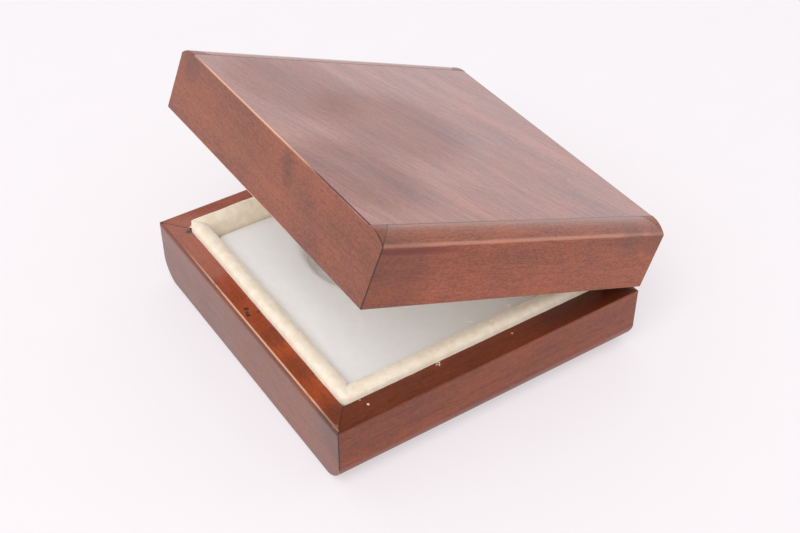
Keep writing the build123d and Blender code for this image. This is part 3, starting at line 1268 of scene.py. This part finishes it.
@dataclass
class Fluff:
    """Tufts of pile that have come away and cling to the collar and the rim."""

    spots: tuple[tuple[float, float, float], ...] = (
        (47.6, -15.9, 22.05), (48.1, -15.1, 22.05), (47.3, -14.7, 22.05), (46.9, -15.3, 22.05),
        (40.6, 0.3, 25.3), (41.3, 1.2, 25.2), (41.0, 13.4, 25.3), (41.6, 14.2, 25.4),
        (43.6, 6.0, 25.4), (-46.3, -46.1, 22.5), (-46.5, -45.8, 22.9),
    )
    lumps: int = 5
    size: float = 0.22 * MM
    scatter: float = 0.30 * MM

    def build(self) -> Piece:
        """Build every tuft into one light piece."""
        picker = random.Random(11)
        bm = bmesh.new()
        for spot in self.spots:
            for _ in range(self.lumps):
                offset = Vector([picker.uniform(-self.scatter, self.scatter) for _ in range(3)])
                offset.z = abs(offset.z) * 0.4 if spot[2] > 22.3 else 0.0
                angle = picker.uniform(0, math.pi)
                turn = Matrix.Rotation(angle, 4, Vector((1, 1, picker.random())))
                stretch = Matrix.Diagonal((picker.uniform(1.0, 1.5), 0.8, 0.7, 1.0))
                seat = Matrix.Translation(Vector(spot) * MM + offset) @ turn @ stretch
                radius = self.size * picker.uniform(0.5, 1.0)
                bmesh.ops.create_icosphere(bm, subdivisions=2, radius=radius, matrix=seat)
        piece = finish_mesh(bm, "collar_fluff", 80.0)
        ruffle(piece, 0.08 * MM, 0.3 * MM, 1.0)
        return place(piece, "base", "collar_velvet")


@dataclass
class CeilingPad:
    """The stuffed satin pad in the lid's ceiling."""

    half_x: float
    half_y: float
    top: float
    bottom: float
    edge_round: float = 1.6 * MM
    corner: float = 6 * MM
    sag: float = 0.25 * MM
    count: int = 160

    def build(self) -> Piece:
        """Build the pad shut and let it swell a little."""
        rows = []
        middle = (self.top + self.bottom) / 2
        for share in (0.06, 0.18, 0.30, 0.42, 0.54, 0.66, 0.77, 0.87, 0.95):
            reach_x, reach_y = self.half_x * share, self.half_y * share
            level = self.bottom + self.sag * share
            rows.append(square_ring(reach_x, reach_y, self.corner * share, level, self.count))
        for rise, inward in quarter(5):
            short = self.edge_round * inward
            reach_x, reach_y = self.half_x - short, self.half_y - short
            level = self.bottom + self.sag + self.edge_round * rise
            rows.append(square_ring(reach_x, reach_y, self.corner, level, self.count))
        for level in (middle, self.top):
            rows.append(square_ring(self.half_x, self.half_y, self.corner, level, self.count))
        back_x, back_y = self.half_x - 3 * MM, self.half_y - 3 * MM
        rows.append(square_ring(back_x, back_y, self.corner - 1 * MM, self.top, self.count))
        piece = skin("ceiling_pad_satin", rows, 80.0, even=False)
        held = [v.index for v in piece.data.vertices if v.co.z > self.bottom + self.edge_round]
        inflate(piece, held, 0.3 * MM)
        ruffle(piece, 0.12 * MM, 12 * MM, 2.0)
        smooth_cover(piece)
        place(piece, "lid", "lining_satin", "lid_pad_cover", "lid_pad_foam")
        return piece


@dataclass
class LidLining:
    """Cloth-covered card strips on the inner faces of the lid."""

    outer: tuple[float, float]
    inner: tuple[float, float]
    bottom: float
    top: float

    def build(self) -> list[Piece]:
        """Build the four strips."""
        made = []
        for side in Side:
            rings = strip_rings(
                side, self.outer, self.inner, self.bottom, self.top, 0.5 * MM, 2.5 * MM
            )
            piece = skin(f"lid_{side.value}_lining", rings, 50.0, even=False)
            ruffle(piece, 0.03 * MM, 5 * MM, 7.0 + list(Side).index(side))
            made.append(place(piece, "lid", "lining_cloth", f"lid_lining_{side.value}"))
        return made


def slab(
    name: str, half: tuple[float, float], low: float, high: float, edge: float, corner: float
) -> Piece:
    """A flat sheet with softened upper edges.

    Args:
        name: Name of the piece.
        half: Half sizes in X and Y.
        low: Lower level.
        high: Upper level.
        edge: Radius of the upper edges.
        corner: Radius of the corners in plan.

    Returns:
        The sheet.
    """
    rows = [square_ring(half[0], half[1], corner, low, 96)]
    for inward, drop in quarter(4):
        reach_x, reach_y = half[0] - edge * inward, half[1] - edge * inward
        rows.append(square_ring(reach_x, reach_y, corner, high - edge * drop, 96))
    return skin(name, rows, 30.0)


def lid_veneer(low: Vector, high: Vector) -> Piece:
    """The veneer on top of the lid, with its long edges rubbed round.

    Args:
        low: Its lowest corner, with the lid shut.
        high: Its highest corner.

    Returns:
        The veneer.
    """
    edge = 0.4 * MM
    insets = [(0.0, low.z)] + [(edge * inward, high.z - edge * drop) for inward, drop in quarter(6)]
    rows = []
    for inward, level in insets:
        across = (low.x + 0.35 * inward, high.x - 0.35 * inward)
        along = (low.y + inward, high.y - inward)
        turns = ((0, 0), (1, 0), (1, 1), (0, 1))
        rows.append([Vector((across[i], along[j], level)) for i, j in turns])
    return place(skin("top_veneer", rows, 30.0), "lid", "lid_veneer", "lid_top_veneer")


# ---------------------------------------------------------------- finishes of this box
def srgb(red: int, green: int, blue: int) -> Colour:
    """A colour given in 0..255 as it looks on a screen, made linear."""

    def linear(value: int) -> float:
        """One channel."""
        share = value / 255
        return share / 12.92 if share <= 0.04045 else ((share + 0.055) / 1.055) ** 2.4

    return linear(red), linear(green), linear(blue), 1.0


def simple_material(
    name: str, dark: Colour, light: Colour, roughness: float, scale: float
) -> bpy.types.Material:
    """A plain, slightly mottled finish for card, foam and hidden boards.

    Args:
        name: Name of the material.
        dark: Darker tone.
        light: Lighter tone.
        roughness: Its roughness.
        scale: Size of the mottling, 1 for broad.

    Returns:
        The material.
    """
    made, graph, shader, coordinates = start_material(name)
    mottle = graph.group("stain_mottle", Vector=coordinates.outputs["Object"], Scale=scale)
    tone = graph.times(mottle.outputs["Clouds"], 0.5)
    tone = graph.scaled(mottle.outputs["Stipple"], 0.5, tone, clamp=True)
    graph.give(shader, **{"Base Color": graph.mix(tone, dark, light), "Roughness": roughness})
    graph.relief(shader, mottle.outputs["Stipple"], 0.3, 0.05 * MM)
    return made


# ---------------------------------------------------------------- the stage
@dataclass
class Studio:
    """Pale floor, soft light and the camera."""

    azimuth: float = 56.562
    elevation: float = 40.439
    lens: float = 59.83
    distance: float = 0.428162
    shift_right: float = 0.00257
    shift_up: float = 0.013267
    horizon: float = 1.21
    room: float = 0.78
    ceiling: float = 0.71
    low_sky: tuple[float, float] = (0.22, 0.42)
    high_sky: tuple[float, float] = (0.62, 0.85)
    sky_colour: Colour = (0.985, 0.99, 1.0, 1.0)
    lamp_power: float = 7.9
    lamp_size: float = 0.9
    lamp_spot: tuple[float, float, float] = (0.48, -0.66, 1.15)
    floor_reach: float = 6.0
    floor_level: float = -0.2 * MM
    floor_glow: float = 0.52

    def axes(self) -> tuple[Vector, Vector, Vector]:
        """Right, up and backward directions of the camera."""
        turn, tilt = math.radians(self.azimuth), math.radians(self.elevation)
        level = math.cos(tilt)
        back = Vector((math.sin(turn) * level, -math.cos(turn) * level, math.sin(tilt)))
        right = Vector((math.cos(turn), math.sin(turn), 0.0))
        return right, back.cross(right), back

    def build_camera(self) -> None:
        """Set up the camera."""
        right, up, back = self.axes()
        data = bpy.data.cameras.new("camera")
        data.lens = self.lens
        data.sensor_width = 36.0
        data.sensor_fit = "HORIZONTAL"
        data.clip_start = 0.01
        data.clip_end = 50.0
        camera = bpy.data.objects.new("camera", data)
        turned = Matrix((right, up, back)).transposed().to_4x4()
        spot = back * self.distance + right * self.shift_right + up * self.shift_up
        camera.matrix_world = Matrix.Translation(spot) @ turned
        bpy.context.scene.collection.objects.link(camera)
        bpy.context.scene.camera = camera

    def build_light(self) -> None:
        """Set up a white room that is brightest near the floor, and one broad lamp in front."""
        world = bpy.data.worlds.new("studio")
        world.use_nodes = True
        graph = Graph(world.node_tree)
        sky = world.node_tree.nodes["Background"]
        parts = graph.parts(graph.node("ShaderNodeTexCoord").outputs["Generated"])
        above = graph.ramp(parts["Z"], *self.low_sky)
        overhead = graph.ramp(parts["Z"], *self.high_sky)
        level = graph.scaled(above, self.room - self.horizon, self.horizon)
        level = graph.scaled(overhead, self.ceiling - self.room, level)
        graph.give(sky, Strength=level, Color=self.sky_colour)
        bpy.context.scene.world = world
        lamp = bpy.data.lights.new("soft_lamp", "AREA")
        lamp.shape = "RECTANGLE"
        lamp.size = lamp.size_y = self.lamp_size
        lamp.energy = self.lamp_power
        key = bpy.data.objects.new("soft_lamp", lamp)
        spot = Vector(self.lamp_spot)
        aimed = spot.to_track_quat("Z", "Y").to_matrix().to_4x4()
        key.matrix_world = Matrix.Translation(spot) @ aimed
        bpy.context.scene.collection.objects.link(key)

    def build_floor(self) -> None:
        """Lay the floor."""
        bm = bmesh.new()
        reach = self.floor_reach
        corners = ((-reach, -reach), (reach, -reach), (reach, reach), (-reach, reach))
        bm.faces.new([bm.verts.new((x, y, self.floor_level)) for x, y in corners])
        mesh = bpy.data.meshes.new("floor")
        bm.to_mesh(mesh)
        bm.free()
        floor = bpy.data.objects.new("floor", mesh)
        bpy.context.scene.collection.objects.link(floor)
        made, graph, shader, coordinates = start_material("floor_paper")
        grain = graph.noise(coordinates.outputs["Object"], 60.0, 3.0)
        colour = graph.mix(grain, srgb(247, 240, 243), srgb(251, 243, 246))
        graph.give(shader, **{"Base Color": colour, "Roughness": 0.9, "Specular IOR Level": 0.0})
        glow = graph.node("ShaderNodeEmission")
        glow.inputs["Color"].default_value = srgb(251, 248, 250)
        rays = graph.node("ShaderNodeLightPath")
        seen = graph.math("ADD", rays.outputs["Is Camera Ray"], rays.outputs["Is Glossy Ray"])
        seen = graph.math("ADD", seen, rays.outputs["Is Transmission Ray"], clamp=True)
        blend = graph.node("ShaderNodeMixShader")
        graph.feed(blend.inputs[0], graph.times(seen, self.floor_glow))
        graph.feed(blend.inputs[1], shader.outputs[0])
        graph.feed(blend.inputs[2], glow.outputs[0])
        graph.feed(made.node_tree.nodes["Material Output"].inputs["Surface"], blend.outputs[0])
        floor.data.materials.append(made)

    def build(self) -> None:
        """Set everything up."""
        self.build_camera()
        self.build_light()
        self.build_floor()
        bpy.context.scene.view_settings.view_transform = "Standard"


# ---------------------------------------------------------------- the box
@dataclass
class BaseBox:
    """The lower half: carcase, bottom board, felt and tray."""

    def build(self) -> None:
        """Build and dress the lower half."""
        low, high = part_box("base_right_rail")
        front_low, front_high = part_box("base_front_rail")
        carcase = MitredCarcase(
            prefix="base", body="base", slot="base_wood", half_x=high.x, half_y=-front_low.y,
            inner_x=low.x, inner_y=-front_high.y, plain_edge=high.z, shoulder_edge=low.z,
            shoulder_width=7.8 * MM, shoulder_height=7.4 * MM, shoulder_radius=8.5 * MM,
            edge_round=1.4 * MM, quiet_edge_round=0.5 * MM,
        )
        rails = carcase.build()
        knots_chip_and_shade = marks(
            ((-0.0030, -0.0497, 0.0221), 0.0008, (24, 12, 10), 0.95, 1.2),
            ((-0.0014, -0.0502, 0.0221), 0.0006, (30, 14, 12), 0.9, 1.2),
            ((-0.0002, -0.0505, 0.0221), 0.0008, (24, 12, 10), 0.95, 1.2),
            ((0.0001, -0.0474, 0.0221), 0.0006, (30, 14, 12), 0.9, 1.2),
            ((-0.0012, -0.0483, 0.0221), 0.0016, (150, 62, 34), 0.45, 0.8),
            ((0.0519, -0.0520, 0.0221), 0.0009, (196, 140, 92), 0.8, 1.2),
            # Painted shade at the front-right corner of the ledge, under the lid.
            ((0.0560, -0.0500, 0.0221), 0.0150, (66, 22, 6), 0.60, 0.3),
            # Painted shadow in the gap under the collar's front-left corner.
            ((-0.0452, -0.0474, 0.0221), 0.0011, (40, 22, 14), 0.80, 1.2),
        )
        reflections_and_stains = marks(
            # Painted reflection: a pale haze on the left part of the ledge.
            ((-0.0430, -0.0498, 0.0221), 0.0130, (168, 108, 92), 0.50, 0.6),
            ((-0.0270, -0.0500, 0.0221), 0.0080, (168, 108, 92), 0.40, 0.8),
            ((0.0120, -0.0480, 0.0221), 0.0050, (90, 30, 6), 0.45, 1.0),
            ((0.0270, -0.0490, 0.0221), 0.0060, (90, 30, 6), 0.35, 1.0),
        )
        lint = marks(
            ((0.0498, -0.0403, 0.0221), 0.00045, (240, 222, 206), 0.95, 0.9),
            ((0.0472, -0.0414, 0.0221), 0.00030, (214, 186, 160), 0.80, 0.9),
            ((0.0489, 0.0099, 0.0221), 0.00035, (226, 204, 180), 0.85, 0.9),
        )
        joint = (high.x, -front_low.y, carcase.slope)
        # The front rail's top arris: rubbed wear with a painted highlight.
        rubbed = {"arris": (0.15, 0.46), "wear_and_highlight_from": (-0.044, -0.010)}
        amber = LedgeTint(srgb(102, 28, 0), srgb(190, 80, 14), 0.35, marks=reflections_and_stains)
        # Painted shade: the right ledge lies under the lid, so its level top is a darker copy of
        # the amber one, darker still towards the back.
        shaded_umber = LedgeTint(srgb(64, 18, 1), srgb(134, 52, 14), 0.10, (-0.010, 0.050))
        for side, grain, seed, dark, light, coat, ledge in (
            (Side.FRONT, Grain.ALONG_X, 1.7, srgb(80, 25, 7), srgb(144, 68, 30), 0.45, amber),
            (Side.BACK, Grain.ALONG_X, 3.1, srgb(88, 28, 8), srgb(158, 76, 34), 0.35, amber),
            (Side.LEFT, Grain.ALONG_Y, 5.3, srgb(88, 28, 8), srgb(158, 76, 34), 0.35, amber),
            (Side.RIGHT, Grain.ALONG_Y, 7.9, srgb(84, 27, 8), srgb(150, 70, 30), 0.1, shaded_umber),
        ):
            wood = LacqueredWood(
                f"base_{side.value}_wood", grain, dark, light, seed=seed, coat=coat, streaks=0.75,
                flecks=0.40, ledge=ledge, joint=joint, worn_and_lit=(0.72, 0.42, 0.27, 1.0),
                spots_and_shade={Side.FRONT: knots_chip_and_shade, Side.RIGHT: lint}.get(side, ()),
                **(rubbed if side is Side.FRONT else {}),
            )
            dress(rails[side], wood.material())
        board = simple_material("bare_board", srgb(176, 134, 92), srgb(198, 158, 114), 0.75, 1.0)
        card = simple_material("grey_card", srgb(168, 160, 146), srgb(192, 184, 170), 0.9, 2.0)
        for name in ("base_bottom_panel", "pad_board"):
            dress(frame["nodes"][name], board)
        for side in Side:
            dress(frame["nodes"][f"collar_{side.value}_core"], card)
        self.build_felt()
        self.build_tray()

    def build_felt(self) -> None:
        """Lay the felt under the bottom board."""
        low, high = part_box("base_underside_felt")
        felt = slab("underside_felt", (high.x, high.y), low.z, high.z, 0.12 * MM, 0.8 * MM)
        place(felt, "base", "felt", "base_underside_felt")
        green = Cloth("green_felt", srgb(38, 74, 52), srgb(58, 98, 72), nap=0.95, sheen=0.2)
        dress(felt, green.material())

    def build_tray(self) -> None:
        """Build the velvet collar and the watch pad."""
        low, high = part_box("collar_right_cover")
        front_low, front_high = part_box("collar_front_cover")
        collar = VelvetCollar(
            outer=(high.x, -front_low.y), inner=(low.x, -front_high.y), bottom=low.z, top=high.z,
            top_round=2.2 * MM,
        )
        velvet = Cloth(
            "cream_velvet", srgb(250, 240, 222), srgb(240, 225, 201), nap=0.9, sheen=0.6, bump=0.8,
            depth=0.10 * MM,
        ).material()
        for piece in (*collar.build(), Fluff().build()):
            dress(piece, velvet)
        low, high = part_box("pad_cover")
        pad = WatchPad(
            half_x=high.x, half_y=high.y, top=high.z, bottom=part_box("pad_foam")[0].z,
            recess_radius=23.0 * MM, recess_floor=high.z - 9.6 * MM,
            recess_centre=(-11.0 * MM, 1.75 * MM),
        )
        cover, foam = pad.build()
        white = Cloth("white_cloth", srgb(250, 251, 252), srgb(243, 244, 245), nap=0.35)
        dress(cover, white.material())
        filling = simple_material("white_foam", srgb(226, 222, 205), srgb(238, 234, 220), 0.95, 3.0)
        dress(foam, filling)


@dataclass
class LidBox:
    """The upper half: carcase, veneered top, lining and ceiling pad."""

    def build(self) -> None:
        """Build and dress the upper half."""
        low, high = shut_box("lid_right_rail")
        front_low, front_high = shut_box("lid_front_rail")
        veneer_low, veneer_high = shut_box("lid_top_veneer")
        carcase = MitredCarcase(
            prefix="lid", body="lid", slot="lid_wood", half_x=high.x, half_y=-front_low.y,
            inner_x=low.x, inner_y=-front_high.y, plain_edge=low.z, shoulder_edge=high.z,
            shoulder_width=6.8 * MM, shoulder_height=2.6 * MM, shoulder_radius=9.2 * MM,
            edge_round=0.7 * MM, quiet_edge_round=0.7 * MM, rebate_half_x=veneer_high.x,
            rebate_depth=veneer_high.z - veneer_low.z,
        )
        rails = carcase.build()
        joint = (high.x, -front_low.y, carcase.slope)
        knee = high.z - carcase.shoulder_height
        smudges = marks(
            ((0.0092, -0.0532, 0.0390), 0.0036, (64, 28, 16), 0.42, 1.6),
            ((0.0112, -0.0532, 0.0352), 0.0030, (70, 30, 18), 0.38, 1.6),
            ((-0.0470, -0.0532, 0.0395), 0.0050, (80, 36, 24), 0.35, 1.4),
        )
        darker_spots = marks(
            # Darker near the front corner.
            ((0.0550, -0.0500, 0.0300), 0.0170, (72, 28, 16), 0.38, 0.3),
            # Painted shade on the face under the knee, near the back.
            ((0.0550, 0.0400, 0.0388), 0.0060, (84, 44, 36), 0.35, 0.8),
            ((0.0550, 0.0500, 0.0385), 0.0050, (84, 44, 36), 0.40, 0.8),
        )
        # The lid's front arrises: rubbed wear with a painted highlight, painted darker further
        # right.
        rubbed = {
            "arris": (0.15, 0.95), "wear_and_highlight_from": (-0.054, -0.034), "wear_and_highlight_fade": (0.014, 0.024)
        }
        side_bands = (
            Band("Z", knee - 1.1 * MM, 1.2 * MM, srgb(112, 24, 0), 0.95, (-0.040, -0.020)),
            # Painted highlight along the top of the knee.
            Band("Z", knee + 0.35 * MM, 0.40 * MM, srgb(208, 146, 122), 0.5),
            # Dark line at the veneer seam, painted as shade.
            Band("X", veneer_high.x + 0.1 * MM, 0.22 * MM, srgb(70, 26, 20), 0.6),
        )
        for side, grain, seed, dark, light, coat in (
            (Side.FRONT, Grain.ALONG_X, 11.3, srgb(90, 32, 12), srgb(160, 82, 45), 0.45),
            (Side.BACK, Grain.ALONG_X, 13.9, srgb(92, 33, 13), srgb(166, 86, 48), 0.35),
            (Side.LEFT, Grain.ALONG_Y, 17.1, srgb(98, 36, 14), srgb(176, 92, 52), 0.35),
            (Side.RIGHT, Grain.ALONG_Y, 19.7, srgb(98, 35, 13), srgb(174, 88, 47), 0.2),
        ):
            wood = LacqueredWood(
                f"lid_{side.value}_wood", grain, dark, light, seed=seed, coat=coat, joint=joint,
                clouds=0.35 if not side.along_x else 0.6, streaks=0.55,
                bands=side_bands if side is Side.RIGHT else (),
                polished_above=None if side.along_x else knee, joint_below=knee,
                spots_and_shade={Side.FRONT: smudges, Side.RIGHT: darker_spots}.get(side, ()),
                **(rubbed if side is Side.FRONT else {}),
            )
            dress(rails[side], wood.material())
        veneer = lid_veneer(veneer_low, veneer_high)
        dull = marks(
            ((-0.030, -0.030, 0.0434), 0.024, (84, 34, 24), 0.30, 0.4),
            ((-0.006, -0.008, 0.0434), 0.026, (84, 34, 24), 0.34, 0.4),
            ((0.022, -0.040, 0.0434), 0.022, (84, 34, 24), 0.36, 0.4),
        )
        top = LacqueredWood(
            "lid_top_wood", Grain.SLANTED, dark=srgb(106, 42, 34), light=srgb(186, 112, 95),
            joint_strength=0.0, coat=1.0, dull=dull,
            # Dark line along the veneer's edge at the seam, painted as shade.
            bands=(Band("X", veneer_high.x - 0.15 * MM, 0.3 * MM, srgb(90, 40, 34), 0.6),),
            streaks=1.1, flecks=0.35, clouds=0.45, seed=23.3, roughness=0.46, coat_roughness=0.2,
            **rubbed,
        )
        dress(veneer, top.material())
        board = bpy.data.materials["bare_board"]
        for name in ("lid_top_panel", "lid_pad_board"):
            dress(frame["nodes"][name], board)
        self.build_lining()

    def build_lining(self) -> None:
        """Build the lining strips and the ceiling pad."""
        low, high = shut_box("lid_lining_right")
        front_low, front_high = shut_box("lid_lining_front")
        lining = LidLining(
            outer=(high.x, -front_low.y), inner=(low.x, -front_high.y), bottom=low.z, top=high.z
        )
        cloth = Cloth("lining_cloth", srgb(236, 224, 204), srgb(208, 192, 166), nap=0.3).material()
        for strip in lining.build():
            dress(strip, cloth)
        low, high = shut_box("lid_pad_cover")
        top = shut_box("lid_pad_foam")[1].z
        pad = CeilingPad(half_x=high.x, half_y=high.y, top=top, bottom=low.z)
        satin = Cloth(
            "cream_satin", srgb(244, 236, 222), srgb(224, 212, 192), threads=9000.0, nap=0.1,
            roughness=0.38, sheen=0.1,
        )
        dress(pad.build(), satin.material())


@dataclass
class Hinges:
    """The two butt hinges with their pins and screws."""

    def dress(self) -> None:
        """Give every metal node its aged brass."""
        brass = AgedBrass().material()
        for name, node in frame["nodes"].items():
            if name.startswith("hinge_"):
                dress(node, brass)
                LOG.info("%s: brass", name)


def main() -> None:
    """Build the whole box, piece by piece."""
    logging.basicConfig(level=logging.INFO, format="%(name)s: %(message)s")
    for build_effect in (
        build_wood_figure, build_mottle, build_ragged_spot, build_arris, build_ledge, build_band,
        build_mitre_joint, build_dust, build_weave, build_nap,
    ):
        build_effect()
    Studio().build()
    BaseBox().build()
    LidBox().build()
    Hinges().dress()


if __name__ == "__main__":
    main()
